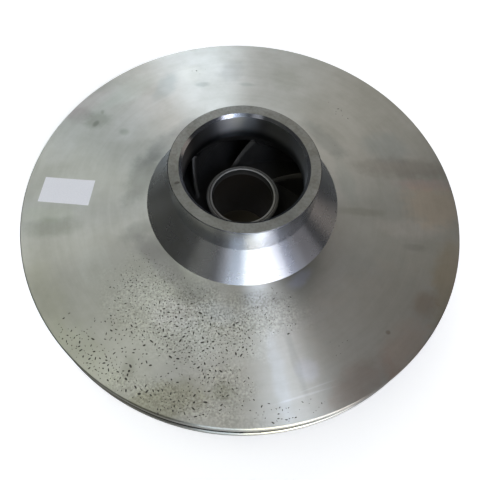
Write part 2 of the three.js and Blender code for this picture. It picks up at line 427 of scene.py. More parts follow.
# Painted highlights on the nose's outer chamfer and on the lip of the bore.
paint_faces(hub, nose_edge_highlight, lambda r, z, radial, up: z > nose_start and 0.4 < up < 0.9 and radial > 0)
paint_faces(hub, groove_and_bore_shade,
            lambda r, z, radial, up: z > nose_start and up > 0.4 and abs(r - NOSE_GROOVE) < groove_reach)
paint_faces(hub, lip_highlight,
            lambda r, z, radial, up: z > nose_start and up > 0.4 and lip_inner < r < lip_outer)
paint_faces(hub, groove_and_bore_shade, lambda r, z, radial, up: z > shaded_wall_start and radial < -0.8)
finish_edges(hub)
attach(hub, "root")
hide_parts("hub")


# Rear shroud: the disc behind the vanes, part of the same stainless steel casting.
# It is faced on its back and its rim, and left as cast in the passages.
BOSS_FILLET = 6 * MM
RIM_CHAMFER = 0.8 * MM

rear_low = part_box("rear_shroud")[0]
rear_back = rear_low.z + BOSS_FILLET
rear_shroud = turned_piece("rear_shroud_casting", [
    *elliptic_arc((BOSS_RADIUS + BOSS_FILLET, rear_low.z), BOSS_FILLET, -BOSS_FILLET, steps=8),
    (rim_radius - RIM_CHAMFER, rear_back),
    (rim_radius, rear_back + RIM_CHAMFER),
    (rim_radius, OUTLET_FLOOR - RIM_CHAMFER),
    (rim_radius - RIM_CHAMFER, OUTLET_FLOOR),
    *reversed(elliptic_arc((FLARE_END, FLARE_TOP), FLARE_REACH, FLARE_DROP, start=flare_split)),
], turned_casting)
paint_faces(rear_shroud, rough_casting, lambda r, z, radial, up: up > 0.05 and r < rim_radius - RIM_CHAMFER)
finish_edges(rear_shroud)
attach(rear_shroud, "root")
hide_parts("rear_shroud")


# Vanes: six backward-swept blades between the shrouds, cast with them, so they run into both with a fillet.
# Their leading edges are rounded and slope up and outwards in the eye; their skin stays as cast.
VANE_COUNT = 6
FIRST_VANE_ANGLE = math.radians(111)
INLET_RADIUS = 33 * MM
INLET_TIP_RADIUS = 47 * MM
INLET_BLADE_ANGLE = math.radians(38)
OUTLET_BLADE_ANGLE = math.radians(27)
INLET_THICKNESS = 3.2 * MM
BLADE_THICKNESS = 5.5 * MM
OUTLET_THICKNESS = 4 * MM
VANE_FILLET = 2.2 * MM
VANE_SINK = 0.4 * MM
VANE_STATIONS = 64
STATION_CROWDING = 1.5
FILLET_AT_NOSE = 0.3
# shares of the way from the inlet to the rim
FULL_THICKNESS_FROM = 0.2
THINNING_FROM = 0.7
SQUARE_FROM = 0.95
VANE_ROWS = 14
THROAT_RADIUS = 45 * MM
THROAT_END = 66 * MM
THROAT_FOOT = 50 * MM
OUTLET_ROOF = 40 * MM

throat_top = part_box("wear_ring")[0].z
throat_reach = THROAT_END - THROAT_RADIUS
throat_drop = throat_top - THROAT_FOOT


def floor_point(share):
    """A point on the rear shroud's passage side, from the vane's inlet (0) to the rim (1)."""
    radius = INLET_RADIUS + (rim_radius - RIM_CHAMFER - INLET_RADIUS) * share
    if radius >= FLARE_END:
        return radius, OUTLET_FLOOR
    angle = math.acos((FLARE_END - radius) / FLARE_REACH)
    return radius, FLARE_TOP - FLARE_DROP * math.sin(angle)


def roof_point(share):
    """A point on the front shroud's passage side, from the vane's inlet (0) to the rim (1)."""
    radius = INLET_TIP_RADIUS + (rim_radius - RIM_CHAMFER - INLET_TIP_RADIUS) * share
    if radius >= THROAT_END:
        along = (radius - THROAT_END) / (rim_radius - THROAT_END)
        return radius, THROAT_FOOT + (OUTLET_ROOF - THROAT_FOOT) * along
    angle = math.acos((THROAT_END - radius) / throat_reach)
    return radius, throat_top - throat_drop * math.sin(angle)


def blade_angle(radius):
    """The angle between the vane and the rim's direction, which eases from the inlet to the outlet."""
    along = (radius - INLET_RADIUS) / (rim_radius - INLET_RADIUS)
    return INLET_BLADE_ANGLE + (OUTLET_BLADE_ANGLE - INLET_BLADE_ANGLE) * along


def vane_turn(radius, steps=60):
    """How far the vane has swept round when it reaches a radius."""
    swept = 0.0
    for i in range(steps):
        start = INLET_RADIUS * (radius / INLET_RADIUS) ** (i / steps)
        end = INLET_RADIUS * (radius / INLET_RADIUS) ** ((i + 1) / steps)
        swept -= math.log(end / start) / math.tan(blade_angle((start + end) / 2))
    return swept


def smooth_step(value, low, high):
    """How far a value has come from low to high, from 0 to 1, with a soft start and end."""
    share = min(1.0, max(0.0, (value - low) / (high - low)))
    return share * share * (3 - 2 * share)


def vane_thickness(share):
    """The vane's thickness: thin at the inlet, full further out, and thinner again at the rim."""
    filled = smooth_step(share, 0, FULL_THICKNESS_FROM)
    grown = INLET_THICKNESS + (BLADE_THICKNESS - INLET_THICKNESS) * filled
    return grown + (OUTLET_THICKNESS - grown) * smooth_step(share, THINNING_FROM, 1)


def vane_row(height_share):
    """The closed section of the vane at one height between the shrouds, cut off along the rim."""
    left, right = [], []
    inlet_here = INLET_RADIUS + (INLET_TIP_RADIUS - INLET_RADIUS) * height_share
    for i in range(VANE_STATIONS + 1):
        share = (i / VANE_STATIONS) ** STATION_CROWDING
        floor, roof = Vector(floor_point(share)), Vector(roof_point(share))
        span = (roof - floor).length
        radius, height = floor + (roof - floor) * (height_share + (2 * height_share - 1) * VANE_SINK / span)
        edge_distance = min(height_share, 1 - height_share) * span
        into_fillet = max(0.0, VANE_FILLET - edge_distance)
        spread = VANE_FILLET - math.sqrt(VANE_FILLET ** 2 - into_fillet ** 2)
        travelled = max(0.0, radius - inlet_here) / math.sin(blade_angle(radius))
        nose = math.sqrt(1 - (1 - min(1.0, travelled / INLET_THICKNESS)) ** 2)
        half = vane_thickness(share) / 2 * nose + spread * min(1.0, nose + FILLET_AT_NOSE)
        turn = vane_turn(radius)
        middle = Vector((radius * math.cos(turn), radius * math.sin(turn), height))
        across = Matrix.Rotation(turn + blade_angle(radius), 3, "Z") @ Vector((1, 0, 0))
        along = across.cross(Vector((0, 0, 1)))
        shear = smooth_step(share, THINNING_FROM, SQUARE_FROM) / math.tan(blade_angle(radius))
        side = (across - along * shear) * half
        left.append(middle + side)
        right.append(middle - side)
    return [*left, *reversed(right)]


def one_vane():
    """A single vane as a closed mesh, starting at angle zero."""
    shape = bmesh.new()
    rows = []
    for i in range(VANE_ROWS + 1):
        share = 0.5 - 0.5 * math.cos(math.pi * i / VANE_ROWS)
        rows.append([shape.verts.new(point) for point in vane_row(share)])
    for low, high in zip(rows, rows[1:]):
        count = len(low)
        for i in range(count):
            after = (i + 1) % count
            shape.faces.new((low[i], low[after], high[after], high[i]))
    shape.faces.new(rows[0])
    shape.faces.new(list(reversed(rows[-1])))
    bmesh.ops.remove_doubles(shape, verts=shape.verts, dist=1e-6)
    bmesh.ops.triangulate(shape, faces=[f for f in shape.faces if len(f.verts) > 4])
    bmesh.ops.recalc_face_normals(shape, faces=shape.faces)
    return mesh_from("one_vane", shape)


def ring_of_copies_tree():
    """Geometry Nodes that set copies of a piece evenly round the axis."""
    tree, given = geometry_tree("ring_of_copies", {"Piece": "Geometry", "Count": "Int",
                                                   "First angle": "Float", "Material": "Material"})
    spots = add_node(tree, "GeometryNodePoints", {"Count": given["Count"]})
    index = add_node(tree, "GeometryNodeInputIndex")
    pitch = add_node(tree, "ShaderNodeMath", {0: 2 * math.pi, 1: given["Count"]}, operation="DIVIDE")
    angle = add_node(tree, "ShaderNodeMath",
                     {0: index.outputs[0], 1: pitch.outputs[0], 2: given["First angle"]},
                     operation="MULTIPLY_ADD")
    turned = add_node(tree, "ShaderNodeCombineXYZ", {2: angle.outputs[0]})
    copies = add_node(tree, "GeometryNodeInstanceOnPoints",
                      {"Points": spots.outputs[0], "Instance": given["Piece"],
                       "Rotation": turned.outputs[0]})
    real = add_node(tree, "GeometryNodeRealizeInstances", {"Geometry": copies.outputs[0]})
    return finish_tree(tree, real.outputs[0], given["Material"])


vanes = make_with_nodes("swept_vanes", one_vane(), ring_of_copies_tree(),
                        {"Count": VANE_COUNT, "First angle": FIRST_VANE_ANGLE, "Material": rough_casting})

# The rounded leading edges are painted paler than the rest of the skin: a painted highlight along them.
LEADING_EDGE_FOOT = 43.6 * MM
LEADING_EDGE_HEIGHT = 20.3 * MM
HIGHLIGHT_WIDTH = 1.6 * MM

edge_slope = (INLET_TIP_RADIUS - INLET_RADIUS) / LEADING_EDGE_HEIGHT
leading_edge_highlight = cast_steel("painted_leading_edge_highlight", "403f3b", "4f4d49", metallic=0.1)
paint_faces(vanes, leading_edge_highlight,
            lambda r, z, radial, up: r < INLET_RADIUS + (z - LEADING_EDGE_FOOT) * edge_slope + HIGHLIGHT_WIDTH)
finish_edges(vanes)
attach(vanes, "root")
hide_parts(*[f"vane_{i + 1}" for i in range(VANE_COUNT)])


# Front shroud: the wide shallow cone that faces the pump's inlet side, part of the same casting. It is
# faced on the lathe, which opens gas pores on one side of it, and left as cast towards the passages.
COLLAR_RADIUS = 68.8 * MM
COLLAR_BASE = 56.5 * MM
FACE_ROWS = 14
AS_CAST_BELOW = 52 * MM

face_slope = (COLLAR_BASE - rim_edge_height) / (rim_radius - COLLAR_RADIUS)


def face_height(radius):
    """Height of the front shroud's turned face at a radius."""
    return COLLAR_BASE - (radius - COLLAR_RADIUS) * face_slope


def roof_height(radius):
    """Height of the front shroud's passage side at a radius, past the throat."""
    return THROAT_FOOT - (THROAT_FOOT - OUTLET_ROOF) * (radius - THROAT_END) / (rim_radius - THROAT_END)


rim_corner = rim_radius - RIM_CHAMFER
faced_casting = turned_steel("faced_casting", "bdbeb9", "a3a39b", roughness=0.35, streaking=0.92,
                             ring_depth=0.004, wear=0.5)
front_shroud = turned_piece("front_shroud_casting", [
    (COLLAR_RADIUS, roof_height(COLLAR_RADIUS)),
    (rim_corner, roof_height(rim_corner)),
    (rim_radius, OUTLET_ROOF + RIM_CHAMFER),
    (rim_radius, rim_edge_height - RIM_CHAMFER),
    *straight((rim_corner, face_height(rim_corner)), (COLLAR_RADIUS, COLLAR_BASE), FACE_ROWS),
    (COLLAR_RADIUS, COLLAR_BASE),
], faced_casting)


# Soft-edged patches that make the turned face's tone uneven. Those beside the collar are painted shade, with
# one painted reflection. A tint darker than bcbcbc darkens the metal, a paler one brightens it. A patch is
# full in its inner half and gone at about one and a half times its size.
PATCH_WANDER = 1.6
PATCH_FULL = 1.3
PATCH_GONE = 2.3
STAINS_AND_PAINTED_SHADE = [
    # x and y of the middle, length, width, turn of the length, tint
    # painted shade beside the collar, where the face mirrors it dark, and one painted reflection of its
    # bright side
    (-75, 14, 46, 20, 80, "a4a5a5"),
    (-62, 42, 44, 16, 52, "aaabac"),
    (-47, 62, 36, 12, 35, "aeafb0"),
    (60, 58, 44, 14, -45, "aaabac"),
    (76, 22, 40, 12, -74, "b2b4b4"),
    (-71, -33, 26, 14, 30, "aaaaaa"),
    (-50, -56, 56, 16, -42, "a7a6a9"),
    (-31, -78, 18, 11, 0, "a8a8a8"),
    (16, -78, 26, 12, 0, "acacac"),
    (43, -60, 18, 8, 50, "c8cbdc"),
    (86, -4, 34, 6, 3, "afaeac"),
    # upper left
    (-118, 66, 20, 16, 20, "a3a4a1"),
    (-134, 70, 18, 16, 60, "aeabac"),
    (-119, 62, 6, 4, 60, "a2a4a2"),
    (-116, 74, 5, 3, 100, "aaaca9"),
    (-128, 85, 46, 14, 42, "c0bcbe"),
    (-141, 38, 34, 18, 80, "c1c1c3"),
    (-88, 72, 50, 26, 60, "c4c4c6"),
    (-100, 98, 44, 22, 40, "c3c6c6"),
    (-69, 103, 34, 14, 70, "adb0b2"),
    (-52, 120, 22, 18, 0, "c2c2c1"),
    (-95, 54, 7, 6, 0, "a8aaa8"),
    (-40, 108, 10, 5, 10, "aaacac"),
    # top
    (-17, 125, 26, 18, 80, "b0b0b1"),
    (-3, 111, 12, 4, 0, "aeb0b0"),
    (30, 122, 26, 22, 70, "b1b1af"),
    # right
    (110, 58, 36, 26, 0, "b3b6b9"),
    (124, 40, 70, 18, 6, "aaa7a6"),
    (137, 27, 44, 10, 6, "c2b9bb"),
    (143, 8, 46, 34, -10, "cec4bc"),
    (122, -13, 44, 14, 4, "cac8c9"),
    (124, -28, 15, 5, 0, "aeadad"),
    (146, -52, 64, 18, 78, "b5aea4"),
    (129, -70, 22, 15, 50, "b0a8a3"),
    (92, -88, 100, 60, 50, "bfbcb9"),
    (114, -100, 40, 22, 50, "bdb5b2"),
    (84, -126, 46, 22, 34, "b0a9a7"),
    (102, -92, 3, 2.5, 0, "9e9a96"),
    # near side
    (49, -121, 14, 14, 0, "c4c6ce"),
    (31, -126, 48, 9, -76, "c2c4c8"),
    (41, -116, 46, 5, -70, "b0b0b0"),
    (49, -136, 36, 1.3, 20, "c7c8cb"),
    (56, -130, 22, 1.0, 23, "c5c6c9"),
    (-6, -103, 50, 36, 0, "c4c6c7"),
    (-8, -88, 26, 14, 0, "c2c4c9"),
    (-41, -91, 30, 20, 0, "c4c3c7"),
    (-4, -138, 16, 10, 0, "b1b2b0"),
    (-38, -146, 60, 20, 16, "a7a69d"),
    (-64, -127, 16, 8, 90, "aeaeac"),
    # left
    (-135, -32, 42, 14, 8, "a8a9a6"),
    (-140, -22, 40, 12, 5, "bcbeba"),
    (-97, -60, 28, 22, 90, "c3c4c5"),
    (-124, -90, 60, 24, -62, "bbbbb7"),
    (-96, -120, 50, 24, -42, "bbbcb8"),
]


def lay_over(material, amount, colour, blend="OVERLAY"):
    """Lays a colour over a material's base colour, as far as an amount between 0 and 1 says."""
    tree = material.node_tree
    base = tree.nodes["Principled BSDF"].inputs["Base Color"]
    under = base.links[0].from_socket
    mix = add_node(tree, "ShaderNodeMix", {0: amount, 6: under, 7: linear(colour)},
                   data_type="RGBA", blend_type=blend)
    tree.links.new(mix.outputs[2], base)


def wandering_place(tree):
    """Where a point is, and a noise that makes the border of a patch wander."""
    place = add_node(tree, "ShaderNodeTexCoord").outputs["Object"]
    wandering = add_node(tree, "ShaderNodeTexNoise",
                         {"Vector": place, "Scale": 75.0, "Detail": 5.0, "Roughness": 0.65})
    return place, wandering.outputs[0]


def soft_patch(tree, place, wandering, patch):
    """How much of a soft-edged patch there is at a point, from 0 to 1, as seen along the axis."""
    x, y, length, width, turn = patch
    centred = add_node(tree, "ShaderNodeMapping",
                       {"Vector": place, "Location": Vector((x, y, 0)) * MM,
                        "Rotation": (0, 0, math.radians(turn)),
                        "Scale": (length * MM / 2, width * MM / 2, 1)},
                       vector_type="TEXTURE")
    flat = add_node(tree, "ShaderNodeVectorMath", {0: centred.outputs[0], 1: (1, 1, 0)},
                    operation="MULTIPLY")
    reach = add_node(tree, "ShaderNodeVectorMath", {0: flat.outputs[0]}, operation="LENGTH")
    edge = add_node(tree, "ShaderNodeMath", {0: wandering, 1: PATCH_WANDER, 2: reach.outputs["Value"]},
                    operation="MULTIPLY_ADD")
    amount = add_node(tree, "ShaderNodeMapRange",
                      {"Value": edge.outputs[0], "From Min": PATCH_GONE, "From Max": PATCH_FULL},
                      interpolation_type="SMOOTHSTEP")
    return amount.outputs[0]


stain_and_shade_tree = faced_casting.node_tree
stain_and_shade_place, wandering = wandering_place(stain_and_shade_tree)
# Lays the patches over the face, with the painted shade and painted reflection beside the collar.
for *patch, tint in STAINS_AND_PAINTED_SHADE:
    lay_over(faced_casting, soft_patch(stain_and_shade_tree, stain_and_shade_place, wandering, patch), tint)

# Among the open pores the metal is also finely pitted, in specks of 1 to 2 mm that are too shallow to cut.
PITTED_PATCHES = [
    # x and y of the middle, length, width, turn of the length
    (-37, -92, 92, 50, -22),
    (-28, -146, 96, 18, -12),
    (10, -88, 70, 26, 5),
    (-3, -133, 34, 22, 0),
]


def specks(tree, size, start, full):
    """How much of a speck there is at a point, from 0 to 1, as noise of a size goes from start to full."""
    place = add_node(tree, "ShaderNodeTexCoord").outputs["Object"]
    spots = add_node(tree, "ShaderNodeTexNoise", {"Vector": place, "Scale": 1 / size, "Detail": 1.0})
    amount = add_node(tree, "ShaderNodeMapRange",
                      {"Value": spots.outputs[0], "From Min": start, "From Max": full})
    return amount.outputs[0]


dark_specks = specks(stain_and_shade_tree, 1.4 * MM, start=0.5, full=0.65)
pale_specks = specks(stain_and_shade_tree, 1.4 * MM, start=0.5, full=0.35)
for patch in PITTED_PATCHES:
    pitted = soft_patch(stain_and_shade_tree, stain_and_shade_place, wandering, patch)
    for found, tint in ((dark_specks, "aaaaa7"), (pale_specks, "cbccc9")):
        amount = add_node(stain_and_shade_tree, "ShaderNodeMath", {0: found, 1: pitted}, operation="MULTIPLY")
        lay_over(faced_casting, amount.outputs[0], tint)


# Opened gas pores: dark pits where the tool cut into bubbles of the casting, most of them 0.4 to 2 mm long.
# Nearly all lie in one wedge of the face; a few stand alone, and some have run together into commas.
# A zone's border is blurred by about 1.5 degrees and 1.5 mm.
PORE_SEED = 11
PORE_GAP = 0.4 * MM
ZONE_BLUR = 1.5
TRIES_PER_PORE = 8
INNERMOST_PORE = 72
OUTERMOST_PORE = 157.5
SMALLEST_SHARE = 0.4
LENGTH_SHARES = (1.0, 1.9)
WIDTH_SHARES = (0.5, 0.8)
LARGE_PORE_DEPTH = 0.9
UNEVENNESS = 0.35 * MM
PORE_ZONES = [
    # lowest and highest angle, lowest and highest radius, number, half size of the largest
    (-138, -120, 84, 94, 34, 0.5),
    (-138, -120, 94, 114, 92, 0.64),
    (-120, -102, 94, 124, 135, 0.84),
    (-102, -84, 94, 114, 92, 0.82),
    (-102, -90, 114, 144, 72, 0.75),
    (-90, -84, 124, 147, 25, 0.7),
    (-120, -102, 84, 94, 32, 0.6),
    (-126, -104, 75, 84, 38, 0.45),
    (-96, -66, 84, 94, 44, 0.6),
    (-84, -66, 94, 104, 26, 0.65),
    (-84, -66, 75, 84, 20, 0.5),
    (-132, -114, 114, 134, 66, 0.75),
    (-132, -114, 134, 144, 24, 0.75),
    (-138, -96, 145, 157, 125, 0.8),
    (-108, -102, 124, 144, 23, 0.65),
    (-96, -90, 144, 154, 13, 0.65),
    (-84, -76, 147, 158, 22, 0.8),
    (-76, -66, 148, 157, 12, 0.6),
    (-59, -54, 121, 129, 6, 0.6),
    (48, 58, 110, 120, 8, 0.6),
    (30, 130, 72, 86, 14, 0.45),
    (108, 116, 130, 136, 4, 0.6),
    # the finest, which cloud the middle of the wedge
    (-142, -120, 78, 100, 110, 0.4),
    (-120, -100, 82, 124, 130, 0.42),
    (-100, -84, 90, 118, 70, 0.42),
    (-130, -98, 140, 157, 70, 0.45),
]
LARGE_PORES = [
    # angle, radius, half length, half width, turn of the length from the axis
    (-116.6, 141, 1.3, 0.7, 60),
    (-116.2, 144, 0.9, 0.7, 0),
    (-116.0, 146.5, 1.0, 0.6, 20),
    (-115.8, 149, 1.1, 0.7, 80),
    (-111.2, 153, 1.2, 0.7, 120),
    (-108.0, 125, 1.5, 0.6, 75),
    (-104.0, 92, 1.4, 0.6, 80),
    (-105.5, 159.8, 1.4, 0.8, 0),
]

# Inside a pore the metal is dull grey brown with rust and dirt, in grains of about 0.4 mm.
pore_skin, pore_tree, pore_shader = new_material("open_pore")
pore_place = add_node(pore_tree, "ShaderNodeTexCoord").outputs["Object"]
pore_grain = add_node(pore_tree, "ShaderNodeTexNoise", {"Vector": pore_place, "Scale": 2500.0, "Detail": 2.0})
pore_rough = add_node(pore_tree, "ShaderNodeMapRange",
                      {"Value": pore_grain.outputs[0], "To Min": 0.6, "To Max": 0.95})
set_inputs(pore_tree, pore_shader, {
    "Base Color": linear("5a5851"),
    "Metallic": 0.3,
    "Roughness": pore_rough.outputs[0],
})


def bubble_tree():
    """Geometry Nodes that put an uneven bubble on each point, of the point's own size and turn."""
    tree, given = geometry_tree("gas_bubbles",
                                {"Spots": "Geometry", "Unevenness": "Float", "Material": "Material"})
    ball = add_node(tree, "GeometryNodeMeshIcoSphere", {"Radius": 1.0, "Subdivisions": 2})
    half_size = add_node(tree, "GeometryNodeInputNamedAttribute", {"Name": "half_size"},
                         data_type="FLOAT_VECTOR")
    turn = add_node(tree, "GeometryNodeInputNamedAttribute", {"Name": "turn"}, data_type="FLOAT")
    turned = add_node(tree, "ShaderNodeCombineXYZ", {2: turn.outputs[0]})
    copies = add_node(tree, "GeometryNodeInstanceOnPoints",
                      {"Points": given["Spots"], "Instance": ball.outputs[0],
                       "Rotation": turned.outputs[0], "Scale": half_size.outputs[0]})
    real = add_node(tree, "GeometryNodeRealizeInstances", {"Geometry": copies.outputs[0]})
    lumps = add_node(tree, "ShaderNodeTexNoise", {"Scale": 900.0, "Detail": 0.0})
    centred = add_node(tree, "ShaderNodeVectorMath", {0: lumps.outputs["Color"], 1: (0.5, 0.5, 0.5)},
                       operation="SUBTRACT")
    push = add_node(tree, "ShaderNodeVectorMath", {0: centred.outputs[0], "Scale": given["Unevenness"]},
                    operation="SCALE")
    uneven = add_node(tree, "GeometryNodeSetPosition",
                      {"Geometry": real.outputs[0], "Offset": push.outputs[0]})
    smooth = add_node(tree, "GeometryNodeSetShadeSmooth", {"Geometry": uneven.outputs[0]})
    return finish_tree(tree, smooth.outputs[0], given["Material"])


make_bubbles = bubble_tree()


def bubbles_at(name, bubbles):
    """Closed bubbles for cutting pits, from a list of (place, half size along each axis, turn)."""
    spots = bpy.data.meshes.new(name + "_spots")
    spots.from_pydata([place for place, half_size, turn in bubbles], [], [])
    # Each attribute is filled before the next is added, because adding one can move the others in memory.
    sizes = spots.attributes.new("half_size", "FLOAT_VECTOR", "POINT")
    for i, (place, half_size, turn) in enumerate(bubbles):
        sizes.data[i].vector = half_size
    turns = spots.attributes.new("turn", "FLOAT", "POINT")
    for i, (place, half_size, turn) in enumerate(bubbles):
        turns.data[i].value = turn
    return make_with_nodes(name, spots, make_bubbles, {"Unevenness": UNEVENNESS, "Material": pore_skin})


def on_face(angle, radius):
    """A point on the front shroud's turned face, from degrees and millimetres."""
    reach = radius * MM
    turn = math.radians(angle)
    return Vector((reach * math.cos(turn), reach * math.sin(turn), face_height(reach)))


def pore_bubbles():
    """The large pores, then random ones zone by zone with soft borders, no two closer than the gap."""
    chance = random.Random(PORE_SEED)
    bubbles = []
    for angle, radius, half_length, half_width, turn in LARGE_PORES:
        half_size = Vector((half_length, half_width, LARGE_PORE_DEPTH)) * MM
        bubbles.append((on_face(angle, radius), half_size, math.radians(angle + turn)))
    for first, last, inner, outer, number, largest in PORE_ZONES:
        placed = 0
        for attempt in range(number * TRIES_PER_PORE):
            if placed == number:
                break
            angle = chance.uniform(first, last) + chance.gauss(0, ZONE_BLUR)
            radius = chance.uniform(inner, outer) + chance.gauss(0, ZONE_BLUR)
            spot = on_face(angle, max(INNERMOST_PORE, min(radius, OUTERMOST_PORE)))
            size = largest * (SMALLEST_SHARE + (1 - SMALLEST_SHARE) * chance.random() ** 2) * MM
            half_length = size * chance.uniform(*LENGTH_SHARES)
            half_width = size * chance.uniform(*WIDTH_SHARES)
            half_size = Vector((half_length, half_width, size))
            if all((spot - other[0]).length > half_size.x + other[1].x + PORE_GAP for other in bubbles):
                bubbles.append((spot, half_size, chance.uniform(0, math.pi)))
                placed += 1
    return bubbles


cut_away(front_shroud, bubbles_at("gas_bubbles", pore_bubbles()))
paint_faces(front_shroud, rough_casting,
            lambda r, z, radial, up: up < -0.05 and z < AS_CAST_BELOW and r < rim_corner)
finish_edges(front_shroud)
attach(front_shroud, "root")
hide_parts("front_shroud")


# Collar: the 45 degree cone round the eye, turned fine and polished outside, with the as-cast throat inside.
# It is the thick part of the same casting, left for the machined ring to stand on.
# One side of the cone is painted darker, as painted shade.
COLLAR_TOP_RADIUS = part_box("wear_ring")[1].x
COLLAR_ROWS = 4
# x and y of the middle, length, width, turn of the length
COLLAR_SHADE = (-56, -22, 80, 44, -68)

collar = turned_piece("eye_collar", [
    *elliptic_arc((THROAT_END, throat_top), throat_reach, throat_drop),
    (COLLAR_RADIUS, roof_height(COLLAR_RADIUS)),
    *straight((COLLAR_RADIUS, COLLAR_BASE), (COLLAR_TOP_RADIUS, throat_top), COLLAR_ROWS),
    (COLLAR_TOP_RADIUS, throat_top),
], polished_casting)
paint_faces(collar, rough_casting, lambda r, z, radial, up: radial < -0.01 or up < -0.5)


def shade_on_side(material, patch, tint):
    """Painted shade on one side of a turned piece."""
    tree = material.node_tree
    lay_over(material, soft_patch(tree, *wandering_place(tree), patch), tint)


shade_on_side(polished_casting, COLLAR_SHADE, "a6a59c")
finish_edges(collar)
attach(collar, "root")
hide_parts("throat_collar")


# Ring round the eye: part of the casting that runs in the pump cover with a small clearance, so it is
# polished outside. Its end face is only faced, which leaves it matt, with a bright chamfer round the bore.
# The bore is bright only near the top: below a wavering line it is painted darker with depth, as painted
# shade.
EYE_RADIUS = 41.9 * MM
RING_CHAMFER = 0.5 * MM
EYE_CHAMFER = 1.9 * MM
SHADE_START = 2 * MM
SHADE_DEPTH = 9 * MM
SHADE_WAVER = 4 * MM
FLAT_TOLERANCE = 0.01 * MM
# x and y of the middle, length, width, turn of the length
# One side of the ring's polished outside is painted darker: painted shade.
RING_SHADE = (-42, -29, 76, 30, -55)
NICK_SPOT = Vector((-43.1, -17.3, 0)) * MM
NICK_HALF_SIZE = Vector((1.7, 1.2, 0.6)) * MM
# The nick's turn is in radians.
NICK_TURN = 0.4

ring_low, ring_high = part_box("wear_ring")
ring_radius = ring_high.x
cut_edge = turned_steel("cut_edge", "888b92", "787b82", roughness=0.22, streaking=0.8,
                        ring_depth=0.001, wear=0.4)
eye_ring = turned_piece("eye_ring", [
    (EYE_RADIUS, ring_low.z),
    (ring_radius, ring_low.z),
    (ring_radius, ring_high.z - RING_CHAMFER),
    (ring_radius - RING_CHAMFER, ring_high.z),
    (EYE_RADIUS + EYE_CHAMFER, ring_high.z),
    (EYE_RADIUS, ring_high.z - EYE_CHAMFER),
], cut_edge)

running_face = turned_steel("running_face", "e6e8ee", "d6d8de", roughness=0.14, streaking=0.85,
                            ring_depth=0.001, wear=0.4)
faced_end = turned_steel("faced_steel", "858682", "72736f", roughness=0.4, streaking=0.6,
                         ring_depth=0.006, wear=1.0)
bored_steel = turned_steel("bored_steel", "9a9da3", "8a8d93", roughness=0.32, streaking=1.0,
                           ring_depth=0.001, wear=0.5)
# Painted shade on one side of the polished outside.
shade_on_side(running_face, RING_SHADE, "8e8e88")
lay_over(faced_end, specks(faced_end.node_tree, 1.8 * MM, start=0.45, full=0.65), "aeaeab")
lay_over(faced_end, specks(faced_end.node_tree, 7 * MM, start=0.5, full=0.62), "b2b1af")


def shade_below(material, low, high, colour):
    """Painted shade: darkens a material below a height, fading out upwards over a wavering band."""
    tree = material.node_tree
    place = add_node(tree, "ShaderNodeTexCoord").outputs["Object"]
    waver = add_node(tree, "ShaderNodeTexNoise", {"Vector": place, "Scale": 60.0, "Detail": 3.0})
    split = add_node(tree, "ShaderNodeSeparateXYZ", {0: place})
    edge = add_node(tree, "ShaderNodeMath", {0: waver.outputs[0], 1: SHADE_WAVER, 2: split.outputs[2]},
                    operation="MULTIPLY_ADD")
    film = add_node(tree, "ShaderNodeMapRange",
                    {"Value": edge.outputs[0], "From Min": low + SHADE_WAVER / 2,
                     "From Max": high + SHADE_WAVER / 2, "To Min": 1.0, "To Max": 0.0},
                    interpolation_type="SMOOTHSTEP")
    lay_over(material, film.outputs[0], colour, "MIX")


# Painted shade down the bore of the ring.
shade_start = ring_low.z + SHADE_START
shade_below(bored_steel, shade_start, shade_start + SHADE_DEPTH, "3e4145")
nick = NICK_SPOT + Vector((0, 0, ring_high.z))
cut_away(eye_ring, bubbles_at("ring_nick", [(nick, NICK_HALF_SIZE, NICK_TURN)]))
end_level = ring_high.z - FLAT_TOLERANCE
paint_faces(eye_ring, faced_end, lambda r, z, radial, up: up > 0.95 and z > end_level)
paint_faces(eye_ring, bored_steel, lambda r, z, radial, up: radial < -0.9 and r < EYE_RADIUS)
paint_faces(eye_ring, running_face, lambda r, z, radial, up: radial > 0.9)
finish_edges(eye_ring)
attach(eye_ring, "root")
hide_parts("wear_ring")


# Label: a bare strip of matt white paper, 38 by 21 mm, stuck on the face by hand and a little askew.
# It follows the cone, and one corner has begun to lift. From close by, its paper shows fine fibres.
LABEL_LENGTH = 38.1 * MM
LABEL_WIDTH = 21.2 * MM
LABEL_THICKNESS = 0.1 * MM
LABEL_GLUE = 0.02 * MM
LABEL_CENTRE = Vector((-128.8, -1.7, 0)) * MM
LABEL_TURN = math.radians(-3.7)
LABEL_LIFT = 0.4 * MM
LIFT_POWER = 6
LABEL_STEPS = 24

paper, paper_tree, paper_shader = new_material("label_paper")
paper_place = add_node(paper_tree, "ShaderNodeTexCoord").outputs["Object"]
fibres = add_node(paper_tree, "ShaderNodeTexNoise", {"Vector": paper_place, "Scale": 1400.0, "Detail": 5.0})
paper_tone = add_node(paper_tree, "ShaderNodeMix",
                      {0: fibres.outputs[0], 6: linear("dddde2"), 7: linear("efeff2")}, data_type="RGBA")
paper_relief = add_node(paper_tree, "ShaderNodeBump",
                        {"Height": fibres.outputs[0], "Strength": 0.3, "Distance": 0.02 * MM})
set_inputs(paper_tree, paper_shader, {
    "Base Color": paper_tone.outputs[2],
    "Roughness": 0.8,
    "Normal": paper_relief.outputs[0],
})


def on_label(along, across, above):
    """A point over the label: along its length and across its width from its centre, above the face."""
    flat = LABEL_CENTRE + Matrix.Rotation(LABEL_TURN, 3, "Z") @ Vector((along, across, 0))
    corner = max(0.0, along / LABEL_LENGTH + 0.5) * max(0.0, across / LABEL_WIDTH + 0.5)
    lift = LABEL_LIFT * corner ** LIFT_POWER
    return Vector((flat.x, flat.y, face_height(flat.xy.length) + above + lift))


